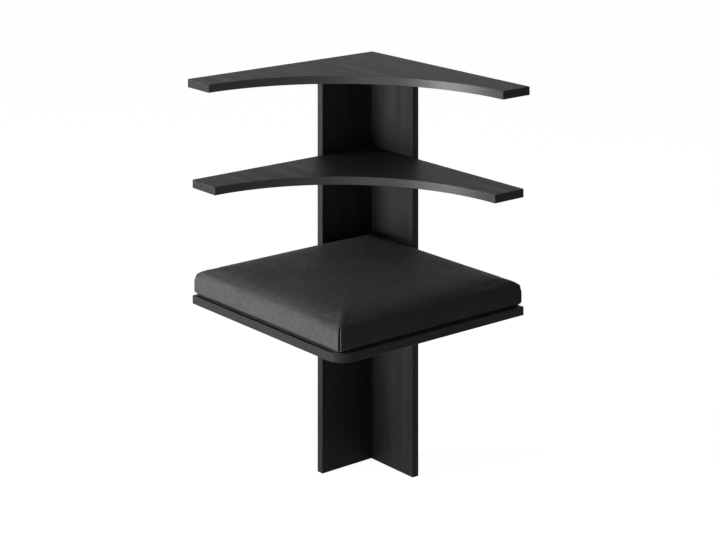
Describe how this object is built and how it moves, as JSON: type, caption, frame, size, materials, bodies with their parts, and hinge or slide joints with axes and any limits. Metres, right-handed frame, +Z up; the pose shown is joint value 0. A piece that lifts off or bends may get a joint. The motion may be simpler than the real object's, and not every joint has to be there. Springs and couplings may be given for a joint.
{
  "type": "corner bench",
  "caption": "Corner bench: a V-shaped panel column in a room corner carries a square cushioned seat and, above it, arc-fronted shelves that serve as back and arm rests.",
  "frame": {"origin": "where the two walls of the room's corner meet the floor", "axes": "+Z up, +X away from the left wall along the back wall, +Y into the back wall, so the bench lies in +X and -Y"},
  "size_m": [0.518, 0.518, 0.932],
  "materials": {
    "board": "satin",
    "cover": "satin",
    "base_cloth": "matte",
    "foam": "matte",
    "zip_tape": "matte",
    "zip_metal": "satin",
    "bracket": "satin",
    "screw": "satin",
    "dowel": "matte"
  },
  "bodies": {
    "bench": {"left_panel": "board", "right_panel": "board", "top_shelf": "board", "lower_shelf": "board", "seat_board": "board", "seat_bracket": "bracket", "corner_screws": "screw", "corner_dowels": "dowel", "lower_shelf_screws": "screw", "seat_screws": "screw", "top_shelf_dowels": "dowel", "bracket_seat_screws": "screw"},
    "cushion": {"cushion_cover": "cover", "cushion_base": "base_cloth", "cushion_foam": "foam", "zip_chain": "zip_tape", "zip_stops": "zip_metal"},
    "slider": {"zip_slider": "zip_metal"}
  },
  "joints": [
    {"name": "cushion_lift", "type": "slide", "parent": "bench", "child": "cushion", "axis": [0, 0, 1], "range_m": [0, 0.17]},
    {"name": "zip_slide", "type": "slide", "parent": "cushion", "child": "slider", "axis": [0, -1, 0], "range_m": [0, 0.295]}
  ]
}
